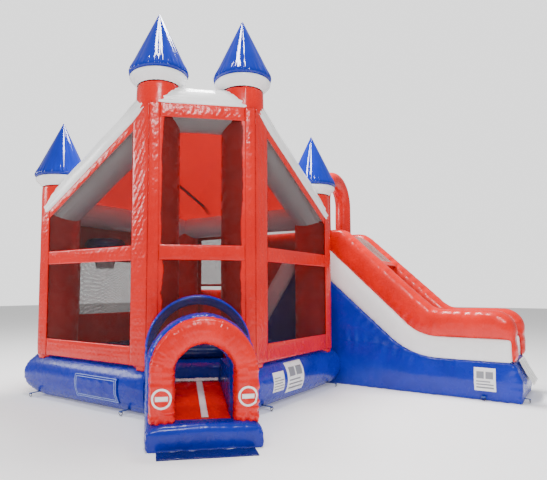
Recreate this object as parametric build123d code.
from build123d import *
import math
import os

os.makedirs("parts", exist_ok=True)

# Inflatable bounce house with a climb and a slide, in millimetres, +Z up.
# It is laid out with the ground point under the front-left entrance column at (0, 0):
# +X runs along the left front wall towards the slide's end, +Y runs away from the entrance.
# The whole set is moved at the end so that the origin is the middle of its footprint.

# ---- House plan -------------------------------------------------------------------
house_side = 2656.0        # square plan, column axis to column axis
corner_cut = 746.0         # the square's front corner is cut back this far for the entrance
column_radius = 265.0
base_radius = 322.0        # perimeter tubes that the columns stand on
base_flat = 10.0           # how far a base tube is flattened where it lies on the ground
sheet = 6.0                # vinyl walls, border strips and the roof
mesh = 3.0                 # netting panels

# ---- House heights ----------------------------------------------------------------
floor_height = 500.0       # top of the jumping mattress
front_column_top = 3950.0
side_column_top = 2920.0
front_beam_height = 3680.0     # axis of the tube between the entrance columns
slope_high = 3660.0            # axis of a sloping tube at the entrance column
slope_low = 2580.0             # and at the side column
side_beam_height = 2660.0      # axis of the left and back tubes
beam_radius = 258.0

# ---- Turrets ----------------------------------------------------------------------
collar_height = 130.0
collar_flare = 85.0        # how much wider a collar is at its top
cone_height = 820.0
cone_overhang = 17.0       # the cone's rim stands out past the collar
cone_rim_rise = 60.0       # height of the widest point above the rim's underside
cone_rim_roll = 12.0       # how far inside the collar's edge the rim starts to turn up
cone_tip = 4.0             # radius of the cone's blunt tip

# ---- Front panels -----------------------------------------------------------------
strip_bottom = 580.0       # underside of the lowest border strip
window_bottom = 800.0
rail_bottom = 1800.0       # middle rail
rail_top = 1980.0
top_strip_bottom = 3500.0
top_strip_top = 3670.0
crease_post = 260.0        # border post beside an entrance column
side_post = 185.0          # border post at a side column
side_post_past = 65.0      # how far that post runs past the side column's axis
slope_strip = 112.0        # height of the sloping border strip, measured upright
slope_strip_drop = 95.0    # its top edge hangs this far below the sloping tube's axis
centre_post = 127.0        # border posts of the entrance panel

# ---- Side and back walls ----------------------------------------------------------
side_window = 1556.0       # length of the mesh window in the left wall
side_window_low = 1080.0
side_window_high = 1920.0
door_left = 210.0          # doorway to the climb, from the back-left column's axis
door_width = 650.0
door_top = 1520.0
transom_top = 2380.0       # top of the mesh window over the doorway
transom_gap = 40.0         # strip between the doorway and that window

# ---- Entrance tunnel --------------------------------------------------------------
entry_shift = -80.0        # the tunnel's middle, along the front, from the panel's middle
bumper_front = 1226.0      # bumper's front face, measured out from the front panel
bumper_depth = 276.0
bumper_width = 1072.0
bumper_height = 213.0
bumper_round = 70.0
arch_outer = 520.0         # red front arch
arch_inner = 285.0
arch_spring = 668.0
arch_depth = 200.0
hood_outer = 536.0         # blue hood right behind the front arch
hood_depth = 230.0
rear_arch_outer = 600.0    # blue arch against the front panel
rear_arch_thickness = 90.0
rear_arch_spring = 786.0
rear_arch_depth = 80.0
rear_arch_shift = 40.0     # its middle lies this far from the tunnel's middle
ramp_high = 430.0          # top of the ramp at the house
threshold_radius = 100.0   # bolster that is stepped over between the entrance columns
threshold_height = 712.0
mat_flap_width = 900.0
mat_flap_reach = 200.0
mat_flap_thickness = 12.0

# ---- Climb and slide lane ---------------------------------------------------------
lane_width = 1150.0
lane_wall = 270.0
lane_rail_top = 1450.0     # low wall round the lane's entry end
lane_wall_top = 2400.0     # wall beside the climb and the platform
climb_foot = -560.0
climb_angle = 57.0
platform_height = 1750.0
slide_start = 720.0
slide_foot = 2118.0        # where the slope would meet the run-out
slide_end = 3420.0
runout_height = 510.0
runout_round = 1000.0
end_bulge = 100.0          # the inflated end stands out this far past the run-out
band_top = 805.0           # top of the white band on the run-out
band_platform = 2100.0     # and beside the platform
band_slope_start = 868.0
band_foot = 2244.0
band_round = 650.0
band_climb_rise = 550.0    # upright thickness of the band on the climb
band_setback = 20.0        # the band ends this far short of the slide's end
wall_slope_start = 1100.0
wall_foot = 2440.0
wall_top = 1157.0          # top of the red side walls on the run-out
wall_round = 300.0
wall_end_round = 240.0
wall_wrap = 20.0           # red wall wraps this far past the slide's end
bed_thickness = 10.0
rung_count = 5
rung_radius = 38.0
rung_length = 520.0
arch_x = 700.0             # arch over the top of the slide
slide_arch_radius = 415.0
slide_arch_tube = 130.0
slide_arch_spring = 2920.0
cover_end = 1660.0         # lower end of the net over the slide
cover_drop = 30.0          # the net lies this far below the walls' tops
cover_hem = 60.0
exit_flap_width = 560.0
exit_flap_length = 350.0
exit_flap_lean = 27.0      # degrees out from upright, as it drapes over the end
exit_flap_thickness = 5.0
soft_gap = 1.0             # air left round a piece that moves
air_share = 0.96           # air space of a plain chamber, as a share of its outer size

# ---- Fittings ---------------------------------------------------------------------
hoop_radius = 215.0
hoop_tube = 85.0
hoop_height = 2150.0
hoop_along = 780.0         # from the left column, along the left wall
hoop_net_drop = 280.0
hoop_net_bottom = 130.0
sleeve_radius = 150.0      # inflation tube that slips over a blower's outlet
sleeve_wall = 4.0
sleeve_length = 450.0
sleeve_x = -1200.0
sleeve_lift = 5.0
zip_length = 640.0
zip_middle = -690.0
zip_half_width = 4.0       # degrees either side of level, round the base tube
zip_thickness = 2.5
slider_length = 40.0
slider_height = 6.0
slider_fit = 0.3           # gap between slider and zip
slider_sweep = 3.0         # degrees either side of level
cover_length = 790.0
cover_clear = 5.0          # gap between the slider and the cover over it
cover_up = 19.6            # degrees above level, where the zip's cover is sewn on
cover_down = 35.0
cover_thickness = 4.0
ring_wire = 4.0            # anchor ring, radius of its wire
ring_half_width = 29.0
ring_drop = 38.0
ring_shoulder = 18.0
ring_point = 12.0
ring_bend = 7.0
ring_fit = 0.08            # radial clearance of a ring in its webbing loop
tab_width = 44.0
tab_thickness = 4.0
tab_loop_wall = 4.0
tab_height = 52.0
tab_reach = 345.0          # ring's axis from a base tube's axis
tab_stand_off = 52.0       # ring's axis from a flat side

# ---- Places worked out from the sizes above ----------------------------------------
front_left = Vector(0, 0)
front_right = Vector(corner_cut, corner_cut)
left = Vector(corner_cut - house_side, 0)
right = Vector(corner_cut, house_side)
back_left = Vector(corner_cut - house_side, house_side)
corners = {"front_left": front_left, "front_right": front_right, "left": left,
           "right": right, "back_left": back_left}
front_corners = ("front_left", "front_right")
panel = column_radius                   # the panels lie against the outside of the columns
base_axis = base_radius - base_flat
lane_near = house_side + base_radius
lane_far = lane_near + lane_width
bed_near = lane_near + lane_wall
bed_far = lane_far - lane_wall
lane_left = left.X - base_radius
door_x = back_left.X + door_left
wall_left = door_x + door_width + 10
diagonal = 1 / math.sqrt(2)
half_front = corner_cut * diagonal      # half the distance between the entrance columns
crease = half_front + panel * math.tan(math.radians(22.5))
axis_middle = (front_left + front_right) / 2
symmetry = Plane(origin=(axis_middle.X, axis_middle.Y, 0), z_dir=(1, 1, 0))

nodes = {}


# ---- Helpers ----------------------------------------------------------------------
def at(point, height):
    """The place at this height over a point of the plan."""
    return Vector(point.X, point.Y, height)


def tube(start, end, radius, extra=0.0):
    """A round inflated tube from start to end, run on past both by extra."""
    along = end - start
    place = Plane(origin=start - along.normalized() * extra, z_dir=along)
    return place.location * Cylinder(radius, along.length + 2 * extra, align=(Align.CENTER, Align.CENTER, Align.MIN))


def less(shape, *others):
    """The shape with its neighbours cut out of it."""
    for other in others:
        shape = shape - other
    return shape


def largest(shape):
    """The biggest solid of what a cut leaves."""
    return shape.solids().sort_by(SortBy.VOLUME)[-1]


def outline(points, rounds=None):
    """A flat face through the points; rounds gives a radius for some of its corners."""
    face = make_face(Polyline(*points, close=True))
    for index, radius in (rounds or {}).items():
        corner = face.vertices().sort_by_distance(Vector(*points[index]))[0]
        face = fillet(corner, radius)
    return face


def arched(radius, spring, foot):
    """A doorway outline: straight legs with a half-round top."""
    lines = [Line((-radius, foot), (-radius, spring)),
             ThreePointArc((-radius, spring), (0, spring + radius), (radius, spring)),
             Line((radius, spring), (radius, foot)),
             Line((radius, foot), (-radius, foot))]
    return make_face(lines)


def raised(plane, face, thickness, start=0.0):
    """The face drawn on a plane and thickened along the plane's normal."""
    return plane.location * (Pos(0, 0, start) * extrude(face, amount=thickness))


def lane_slab(face, near, far):
    """A lane's side outline, in X and Z, made as thick as near to far in Y."""
    plane = Plane(origin=(0, far, 0), x_dir=(1, 0, 0), z_dir=(0, -1, 0))
    return raised(plane, face, far - near)


def side_slab(face, low, high):
    """An outline in Y and Z, made as thick as low to high in X."""
    plane = Plane(origin=(low, 0, 0), x_dir=(0, 1, 0), z_dir=(1, 0, 0))
    return raised(plane, face, high - low)


def block(low, high):
    """A box from its lowest to its highest corner."""
    size = Vector(*high) - Vector(*low)
    middle = (Vector(*high) + Vector(*low)) / 2
    return Pos(*middle) * Box(*size)


def group(shapes):
    """Separate solids that share one node."""
    return Compound([solid for shape in shapes for solid in shape.solids()])


def mirrored(shape):
    """The same piece on the other side of the entrance."""
    return mirror(shape, about=symmetry)


# ---- Base: perimeter tubes and jumping mattress -------------------------------------
def base_tube(first, second):
    """One side of the base, mitred into the sides it meets at both ends."""
    order = ["left", "front_left", "front_right", "right", "back_left"]
    points = [corners[name] for name in order]
    start = order.index(first)
    stop = order.index(second)
    shape = tube(at(points[start], base_axis), at(points[stop], base_axis), base_radius, 600)
    along = (points[stop] - points[start]).normalized()
    before = (points[start] - points[start - 1]).normalized()
    after = (points[(stop + 1) % 5] - points[stop]).normalized()
    shape = split(shape, Plane(origin=at(points[start], 0), z_dir=along + before), keep=Keep.TOP)
    shape = split(shape, Plane(origin=at(points[stop], 0), z_dir=along + after), keep=Keep.BOTTOM)
    return split(shape, Plane.XY, keep=Keep.TOP)


nodes["base_tube_front_left"] = base_tube("left", "front_left")
nodes["base_tube_front"] = base_tube("front_left", "front_right")
nodes["base_tube_front_right"] = base_tube("front_right", "right")
nodes["base_tube_back"] = base_tube("right", "back_left")
nodes["base_tube_left"] = base_tube("back_left", "left")
base_tubes = [shape for name, shape in nodes.items() if name.startswith("base_tube")]

inset = base_radius - 30
floor_outline = outline([(left.X + inset, inset),
                         (-inset * math.tan(math.radians(22.5)), inset),
                         (corner_cut - inset, corner_cut + inset * math.tan(math.radians(22.5))),
                         (corner_cut - inset, house_side - inset),
                         (left.X + inset, house_side - inset)])
nodes["bounce_floor"] = less(extrude(floor_outline, amount=floor_height), *base_tubes)

# ---- Columns, beams and turrets ------------------------------------------------------
for name, corner in corners.items():
    top = front_column_top if name in front_corners else side_column_top
    post = tube(at(corner, base_axis), at(corner, top), column_radius)
    nodes["column_" + name] = less(post, *base_tubes)
columns = [nodes["column_" + name] for name in corners]


collars = []
cones = []
rim_radius = column_radius + collar_flare
for name, corner in corners.items():
    top = front_column_top if name in front_corners else side_column_top
    collar = Cone(column_radius, rim_radius, collar_height, align=(Align.CENTER, Align.CENTER, Align.MIN))
    collars.append(Pos(*at(corner, top)) * collar)
    widest = rim_radius + cone_overhang
    profile = make_face([Line((0, 0), (rim_radius - cone_rim_roll, 0)),
                         ThreePointArc((rim_radius - cone_rim_roll, 0),
                                       (widest - cone_rim_roll / 3, cone_rim_rise / 3), (widest, cone_rim_rise)),
                         Line((widest, cone_rim_rise), (cone_tip, cone_height)),
                         Line((cone_tip, cone_height), (0, cone_height)),
                         Line((0, cone_height), (0, 0))])
    cone = revolve(Plane.XZ.location * profile, axis=Axis.Z)
    cones.append(Pos(*at(corner, top + collar_height)) * cone)
nodes["turret_collars"] = group(collars)
nodes["turret_cones"] = group(cones)


def beam(start, end, *others):
    """A roof tube between two column axes, shaped to the pieces it is joined to."""
    return largest(less(tube(start, end, beam_radius), *columns, *collars, *cones, *others))


nodes["beam_front"] = beam(at(front_left, front_beam_height), at(front_right, front_beam_height))
nodes["beam_slope_left"] = beam(at(front_left, slope_high), at(left, slope_low), nodes["beam_front"])
nodes["beam_slope_right"] = beam(at(front_right, slope_high), at(right, slope_low), nodes["beam_front"])
nodes["beam_left"] = beam(at(left, side_beam_height), at(back_left, side_beam_height),
                          nodes["beam_slope_left"])
nodes["beam_back"] = beam(at(back_left, side_beam_height), at(right, side_beam_height),
                          nodes["beam_left"], nodes["beam_slope_right"])
beams = [shape for name, shape in nodes.items() if name.startswith("beam")]


# ---- Roof: one layer of vinyl, hipped down from the front beam -------------------------
def roof_facet(*places):
    """A flat triangle of the roof, given upright thickness."""
    face = Face(Wire.make_polygon([Vector(*place) for place in places], close=True))
    return extrude(face, amount=sheet, dir=(0, 0, 1))


ridge_left = at(front_left, slope_high)
ridge_right = at(front_right, slope_high)
eave_left = at(left, slope_low)
eave_right = at(right, slope_low)
eave_back = at(back_left, slope_low)
roof = roof_facet(ridge_left, eave_left, eave_back)
roof = roof + roof_facet(ridge_left, ridge_right, eave_back)
roof = roof + roof_facet(ridge_right, eave_right, eave_back)
nodes["roof_canopy"] = largest(less(roof, *columns, *beams))

# ---- Front panels: border strips with netting between them ------------------------------
left_plane = Plane(origin=(0, -panel, 0), x_dir=(1, 0, 0), z_dir=(0, -1, 0))
front_crease = panel * math.tan(math.radians(22.5))
slope = (slope_high - slope_low) / (house_side - corner_cut)


def slope_edge(x, drop):
    """Height of a line under the left sloping tube's axis, at x along the left front wall."""
    return slope_high - drop + slope * x


outer_x = left.X - side_post_past
window_left = outer_x + side_post
window_right = front_crease - crease_post
left_outline = outline([(outer_x, strip_bottom), (front_crease, strip_bottom), (front_crease, top_strip_top),
                        (0, slope_edge(0, slope_strip_drop)),
                        (outer_x, slope_edge(outer_x, slope_strip_drop))])
lower_window = outline([(window_left, window_bottom), (window_right, window_bottom),
                        (window_right, rail_bottom), (window_left, rail_bottom)])
strip_low_edge = slope_strip_drop + slope_strip
upper_window = outline([(window_left, rail_top), (window_right, rail_top),
                        (window_right, slope_edge(window_right, strip_low_edge)),
                        (window_left, slope_edge(window_left, strip_low_edge))])
left_border = raised(left_plane, left_outline - lower_window - upper_window, sheet)
nodes["border_front_left"] = left_border
nodes["border_front_right"] = mirrored(left_border)
net_inset = (sheet - mesh) / 2       # a net lies in the middle of its border's thickness
left_nets = [raised(left_plane, window, mesh, net_inset) for window in (lower_window, upper_window)]
nodes["net_front_left"] = group(left_nets)
nodes["net_front_right"] = group([mirrored(net) for net in left_nets])

centre_plane = Plane(origin=axis_middle + Vector(diagonal, -diagonal) * panel,
                     x_dir=(1, 1, 0), z_dir=(1, -1, 0))
centre_window = crease - centre_post
upper_centre = outline([(-centre_window, rail_top), (centre_window, rail_top),
                        (centre_window, top_strip_bottom), (-centre_window, top_strip_bottom)])
lower_centre = outline([(-centre_window, strip_bottom), (centre_window, strip_bottom),
                        (centre_window, rail_bottom), (-centre_window, rail_bottom)])
centre_outline = outline([(-crease, strip_bottom), (crease, strip_bottom),
                          (crease, top_strip_top), (-crease, top_strip_top)])
nodes["border_front_centre"] = raised(centre_plane, centre_outline - upper_centre - lower_centre, sheet)
rear_arch_middle = entry_shift + rear_arch_shift
over_arch = lower_centre - Pos(rear_arch_middle, 0) * arched(rear_arch_outer - rear_arch_thickness / 2,
                                                             rear_arch_spring, strip_bottom - 100)
centre_nets = [raised(centre_plane, upper_centre, mesh, net_inset)]
centre_nets.append(raised(centre_plane, over_arch.faces().sort_by(SortBy.AREA)[-1], mesh, net_inset))
nodes["net_front_centre"] = group(centre_nets)

# ---- Left wall and back wall: vinyl sheets with mesh windows ------------------------------
def rectangle(low_u, low_v, high_u, high_v):
    """An upright rectangle from its lower corner to its upper corner."""
    return outline([(low_u, low_v), (high_u, low_v), (high_u, high_v), (low_u, high_v)])


wall_x = left.X - panel
window_start = (house_side - side_window) / 2
left_sheet = rectangle(0, strip_bottom, house_side, side_beam_height)
left_window = rectangle(window_start, side_window_low, window_start + side_window, side_window_high)
nodes["left_wall"] = side_slab(left_sheet - left_window, wall_x - sheet, wall_x)
wall_y = house_side + panel
back_sheet = rectangle(back_left.X, strip_bottom, wall_left, side_beam_height)
doorway = rectangle(door_x, strip_bottom + 30, door_x + door_width, door_top)
transom = rectangle(door_x, door_top + transom_gap, door_x + door_width, transom_top)
nodes["back_wall"] = lane_slab(back_sheet - doorway - transom, wall_y, wall_y + sheet)
nodes["window_nets"] = group([side_slab(left_window, wall_x - sheet + net_inset, wall_x - net_inset),
                              lane_slab(transom, wall_y + net_inset, wall_y + sheet - net_inset)])

# ---- Entrance tunnel ----------------------------------------------------------------------
entry_origin = centre_plane.origin + Vector(diagonal, diagonal) * entry_shift
entry = Plane(origin=entry_origin, x_dir=(1, 1, 0), z_dir=(1, -1, 0))
bumper_back = bumper_front - bumper_depth
arch_back = bumper_back
hood_back = arch_back - hood_depth
house_front = base_radius - panel           # the base tube's face, out from the front panel

bumper_side = rectangle(-bumper_width / 2, 0, bumper_width / 2, bumper_height)
bumper = raised(entry, bumper_side, bumper_depth, bumper_back)
bumper_edges = bumper.edges().filter_by(Axis.Z, reverse=True).group_by(Axis.Z)[-1]
nodes["entry_bumper"] = fillet(bumper_edges, bumper_round)

arch_ring = arched(arch_outer, arch_spring, bumper_height) - arched(arch_inner, arch_spring, bumper_height)
front_arch = raised(entry, arch_ring, arch_depth, arch_back)
nodes["entry_arch_front"] = less(front_arch, nodes["entry_bumper"])
hood_ring = arched(hood_outer, arch_spring, 0) - arched(arch_inner, arch_spring, 0)
nodes["entry_hood"] = raised(entry, hood_ring, hood_depth, hood_back)

side_wall = rectangle(arch_inner, 0, hood_outer, arch_spring)
walls = [raised(entry, face, hood_back - sheet, sheet) for face in (side_wall, mirror(side_wall, about=Plane.YZ))]
nodes["entry_side_walls"] = group([less(wall, *base_tubes) for wall in walls])

ramp_side = outline([(0, 0), (bumper_back, 0), (bumper_back, bumper_height), (0, ramp_high)])
ramp_plane = Plane(origin=entry_origin - Vector(diagonal, diagonal) * arch_inner,
                   x_dir=(1, -1, 0), z_dir=(-1, -1, 0))
nodes["entry_ramp"] = less(raised(ramp_plane, ramp_side, -2 * arch_inner), *base_tubes)

rear_outer = arched(rear_arch_outer, rear_arch_spring, base_axis)
rear_inner = arched(rear_arch_outer - rear_arch_thickness, rear_arch_spring, base_axis)
rear_ring = Pos(rear_arch_shift, 0) * (rear_outer - rear_inner)
rear_arch = raised(entry, rear_ring, rear_arch_depth, sheet)
nodes["entry_arch_rear"] = less(rear_arch, *base_tubes, nodes["entry_side_walls"])


def roof_ring(radius, spring, shift, distance):
    """A thin half ring of the tunnel's net roof, this far out from the front panel."""
    outer = arched(radius, spring, spring - 1)
    inner = arched(radius - mesh, spring, spring - 1)
    half = (outer - inner) & rectangle(-2 * radius, spring, 2 * radius, spring + 2 * radius)
    return entry.offset(distance).location * (Pos(shift, 0) * half)


net_near = roof_ring(hood_outer - 10, arch_spring, 0, hood_back)
net_far = roof_ring(rear_arch_outer - 10, rear_arch_spring, rear_arch_shift, sheet + rear_arch_depth)
nodes["entry_roof_net"] = loft([net_near.face(), net_far.face()])

bolster = tube(at(front_left, threshold_height), at(front_right, threshold_height), threshold_radius)
nodes["entry_threshold"] = less(bolster, *columns, *base_tubes)

# ---- Climb and slide lane: three stacked profiles on a shared plan --------------------------
climb_rise = math.tan(math.radians(climb_angle))
climb_top = climb_foot + (platform_height - floor_height) / climb_rise
band_climb_top = climb_foot + (band_platform - floor_height - band_climb_rise) / climb_rise

climb_side = outline([(lane_left, 0), (lane_left, floor_height), (climb_foot, floor_height),
                      (climb_top, platform_height), (slide_start, platform_height), (slide_start, 0)])
nodes["climb_body"] = lane_slab(climb_side, lane_near, lane_far)

body_end = [(slide_end, runout_height), (slide_end + end_bulge, runout_height / 2), (slide_end + end_bulge * 0.8, 0)]
slide_side = outline([(slide_start, 0), (slide_start, platform_height), (slide_foot, runout_height)] + body_end,
                     {2: runout_round, 4: runout_height * 0.4})
nodes["slide_body"] = lane_slab(slide_side, lane_near, lane_far)

far_below = -1000.0
under_bed = outline([(climb_foot, far_below), (climb_foot, floor_height), (climb_top, platform_height),
                     (slide_start, platform_height), (slide_foot, runout_height),
                     (slide_end + 500, runout_height), (slide_end + 500, far_below)], {4: runout_round})
band_end = slide_end - band_setback
under_band = outline([(climb_foot, far_below), (climb_foot, floor_height + band_climb_rise),
                      (band_climb_top, band_platform), (band_slope_start, band_platform),
                      (band_foot, band_top), (band_end, band_top), (band_end, far_below)], {4: band_round})
wall_end = slide_end + wall_wrap
under_wall = outline([(wall_left, far_below), (wall_left, lane_wall_top), (wall_slope_start, lane_wall_top),
                      (wall_foot, wall_top), (wall_end, wall_top), (wall_end, far_below)],
                     {2: wall_round, 3: wall_round, 4: wall_end_round})
blue_end = rectangle(slide_start, far_below, slide_end + 500, runout_height)
floor_end = rectangle(wall_left - 100, far_below, slide_start, floor_height)
band_face = (under_band - under_bed).faces().sort_by(SortBy.AREA)[-1]
wall_face = (under_wall - under_bed - under_band - blue_end - floor_end).faces().sort_by(SortBy.AREA)[-1]
sides = ((lane_near, bed_near), (bed_far, lane_far))
nodes["slide_bands"] = group([lane_slab(band_face, *side) for side in sides])
nodes["slide_walls"] = group([lane_slab(wall_face, *side) for side in sides])

jamb = block((lane_left, lane_near, floor_height), (door_x, bed_near, lane_rail_top))
end_rail = block((lane_left, bed_near, floor_height), (lane_left + lane_wall, bed_far, lane_rail_top))
far_rail = block((lane_left, bed_far, floor_height), (wall_left, lane_far, lane_rail_top))
nodes["lane_rail"] = group([jamb, end_rail, far_rail])

bed_lower = [(slide_start, platform_height), (slide_foot, runout_height), (slide_end, runout_height)]
bed_curve = FilletPolyline(*bed_lower, radius=runout_round)
lifted = Pos(0, bed_thickness) * bed_curve
bed_ends = [Line(bed_lower[0], (slide_start, platform_height + bed_thickness)),
            Line(bed_lower[2], (slide_end, runout_height + bed_thickness))]
bed_face = make_face(bed_curve.edges() + lifted.edges() + bed_ends)
nodes["slide_bed"] = lane_slab(bed_face, bed_near, bed_far)

rungs = []
bed_middle = (bed_near + bed_far) / 2
for index in range(rung_count):
    share = (index + 1) / (rung_count + 1)
    foot = Vector(climb_foot + (climb_top - climb_foot) * share, bed_middle - rung_length / 2,
                  floor_height + (platform_height - floor_height) * share)
    rungs.append(less(tube(foot, foot + Vector(0, rung_length, 0), rung_radius), nodes["climb_body"]))
nodes["climb_rungs"] = group(rungs)

arch_plane = Plane(origin=(arch_x, bed_middle, 0), x_dir=(0, 1, 0), z_dir=(1, 0, 0))
arch_path = arch_plane.location * Wire([
    Line((-slide_arch_radius, lane_wall_top), (-slide_arch_radius, slide_arch_spring)),
    ThreePointArc((-slide_arch_radius, slide_arch_spring), (0, slide_arch_spring + slide_arch_radius),
                  (slide_arch_radius, slide_arch_spring)),
    Line((slide_arch_radius, slide_arch_spring), (slide_arch_radius, lane_wall_top))])
arch_foot = Vector(arch_x, bed_middle - slide_arch_radius, lane_wall_top)
nodes["slide_arch"] = sweep(Plane(origin=arch_foot, z_dir=(0, 0, 1)).location * Circle(slide_arch_tube),
                            path=arch_path)

cover_start = arch_x + slide_arch_tube
cover_line = under_wall & rectangle(cover_start, 0, cover_end, lane_wall_top + 10)
cover_skin = Pos(0, -cover_drop) * cover_line - Pos(0, -cover_drop - mesh) * cover_line
cover_net = (cover_skin & rectangle(cover_start, 1000, cover_end, lane_wall_top)).faces().sort_by(SortBy.AREA)[-1]
nodes["slide_cover_net"] = lane_slab(cover_net, bed_near, bed_far)

# ---- Basketball hoop on the left wall -------------------------------------------------------
hoop_centre = Vector(wall_x + hoop_radius + hoop_tube, hoop_along, hoop_height)
nodes["hoop_ring"] = less(Pos(*hoop_centre) * Torus(hoop_radius, hoop_tube), nodes["left_wall"])
net_top = hoop_height - hoop_tube
net_cone = Cone(hoop_net_bottom, hoop_radius, hoop_net_drop, align=(Align.CENTER, Align.CENTER, Align.MAX))
net_bore = Cone(hoop_net_bottom - mesh, hoop_radius - mesh, hoop_net_drop,
                align=(Align.CENTER, Align.CENTER, Align.MAX))
net_place = Pos(hoop_centre.X, hoop_centre.Y, net_top)
nodes["hoop_net"] = net_place * (net_cone - net_bore)

# ---- Inflation tube and deflation zip -----------------------------------------------------------
sleeve_axis = sleeve_radius + sleeve_lift
sleeve_start = Vector(sleeve_x, lane_far, sleeve_axis)
sleeve_mouth = Vector(sleeve_x, lane_far + sleeve_length, sleeve_axis)
nodes["blower_sleeve"] = less(tube(sleeve_start, sleeve_mouth, sleeve_radius),
                              tube(sleeve_start, sleeve_mouth, sleeve_radius - sleeve_wall, 1))


def tube_skin(inner, outer, middle, length, low_angle, high_angle):
    """A piece of skin round the outside of the left front base tube, angles from level."""
    points = []
    for radius, angle in ((inner, low_angle), (outer, low_angle), (outer, high_angle), (inner, high_angle)):
        turn = math.radians(angle)
        points.append((-radius * math.cos(turn), base_axis + radius * math.sin(turn)))
    mean = math.radians((low_angle + high_angle) / 2)
    middle_points = [(-radius * math.cos(mean), base_axis + radius * math.sin(mean)) for radius in (inner, outer)]
    face = make_face([Line(points[0], points[1]), ThreePointArc(points[1], middle_points[1], points[2]),
                      Line(points[2], points[3]), ThreePointArc(points[3], middle_points[0], points[0])])
    return side_slab(face, middle - length / 2, middle + length / 2)


zip_outer = base_radius + zip_thickness
slider_inner = zip_outer + slider_fit
slider_outer = slider_inner + slider_height
cover_inner = slider_outer + cover_clear
cover_outer = cover_inner + cover_thickness
nodes["deflation_zip"] = tube_skin(base_radius, zip_outer, zip_middle, zip_length, -zip_half_width, zip_half_width)
slider_travel = zip_length - slider_length
slider_middle = zip_middle - slider_travel / 2
nodes["zip_slider"] = tube_skin(slider_inner, slider_outer, slider_middle, slider_length,
                                -slider_sweep, slider_sweep)
nodes["zip_cover_flap"] = tube_skin(cover_inner, cover_outer, zip_middle, cover_length, -cover_down, cover_up)

# ---- Entrance mat flap and slide exit flap --------------------------------------------------------
flap_face = rectangle(-mat_flap_width / 2, 0, mat_flap_width / 2, mat_flap_thickness)
nodes["entry_mat_flap"] = raised(entry, flap_face, mat_flap_reach, bumper_front + soft_gap)
lean = math.radians(exit_flap_lean)
exit_hinge = Vector(wall_end + exit_flap_thickness + soft_gap, bed_middle, runout_height + bed_thickness)
exit_plane = Plane(origin=exit_hinge, x_dir=(0, 1, 0), z_dir=(math.cos(lean), 0, math.sin(lean)))
flap_sheet = rectangle(-exit_flap_width / 2, -exit_flap_length, exit_flap_width / 2, 0)
nodes["slide_exit_flap"] = raised(exit_plane, flap_sheet, exit_flap_thickness)

# ---- Anchor points: a webbing tab with a steel ring at each ---------------------------------------
loop_hole = ring_wire + ring_fit
loop_outer = loop_hole + tab_loop_wall
anchors = [("front_left_corner", (-2000, -tab_reach), (0, -1)),
           ("entrance_left", (-207, -tab_reach), (0, -1)),
           ("entrance_right", (corner_cut + tab_reach, 860), (1, 0)),
           ("right_corner", (corner_cut + tab_reach, 2700), (1, 0)),
           ("slide_side", (3060, lane_near - tab_stand_off), (0, -1)),
           ("slide_end", (slide_end + end_bulge + tab_stand_off, lane_near + 150), (1, 0))]
bodies_behind = base_tubes + [nodes["slide_body"]]
tabs = []
ring_outline = [(-ring_half_width, 0), (ring_half_width, 0), (ring_half_width, -ring_shoulder),
                (ring_point, -ring_drop), (-ring_point, -ring_drop), (-ring_half_width, -ring_shoulder)]
for name, place, outward in anchors:
    hinge = Vector(*place, tab_height)
    facing = Vector(*outward, 0)
    across = Vector(-facing.Y, facing.X, 0)
    barrel = tube(hinge - across * tab_width / 2, hinge + across * tab_width / 2, loop_outer)
    hole = tube(hinge - across * tab_width / 2, hinge + across * tab_width / 2, loop_hole, 1)
    strap_plane = Plane(origin=hinge, x_dir=across, z_dir=facing)
    strap_end = rectangle(-tab_width / 2, 0, tab_width / 2, tab_thickness)
    strap = raised(strap_plane, Pos(0, loop_hole) * strap_end, -tab_reach)
    tabs.append(less(strap + barrel, hole, *bodies_behind))
    ring_path = strap_plane.location * FilletPolyline(*ring_outline, radius=ring_bend, close=True)
    ring_section = Plane(origin=hinge, x_dir=facing, z_dir=across).location * Circle(ring_wire)
    nodes["anchor_ring_" + name] = sweep(ring_section, path=ring_path)
nodes["anchor_tabs"] = group(tabs)

# ---- Air: the plain chambers are hollow, as the real ones are ---------------------------------------
def aired(chamber):
    """The chamber with its air space taken out: a smaller copy of itself about its middle."""
    space = scale(chamber, by=air_share)
    return chamber - Pos(*(chamber.center() - space.center())) * space


plain = ["bounce_floor", "turret_cones", "lane_rail"]
plain += [name for name in nodes if name.startswith(("base_tube", "column", "beam"))]
for name in plain:
    nodes[name] = group([aired(chamber) for chamber in nodes[name].solids()])

# ---- Write every node, moved so that the origin is the middle of the footprint --------------------
extent = group(nodes.values()).bounding_box()
shift = Vector(-(extent.min.X + extent.max.X) / 2, -(extent.min.Y + extent.max.Y) / 2, -extent.min.Z)
for name, shape in nodes.items():
    export_step(Pos(*shift) * shape, "parts/" + name + ".step")
    print(name, len(shape.solids()), [round(value) for value in shape.bounding_box().size])
print("nodes", len(nodes), "shift", [round(value, 3) for value in shift])
print("size", [round(value, 2) for value in extent.size])
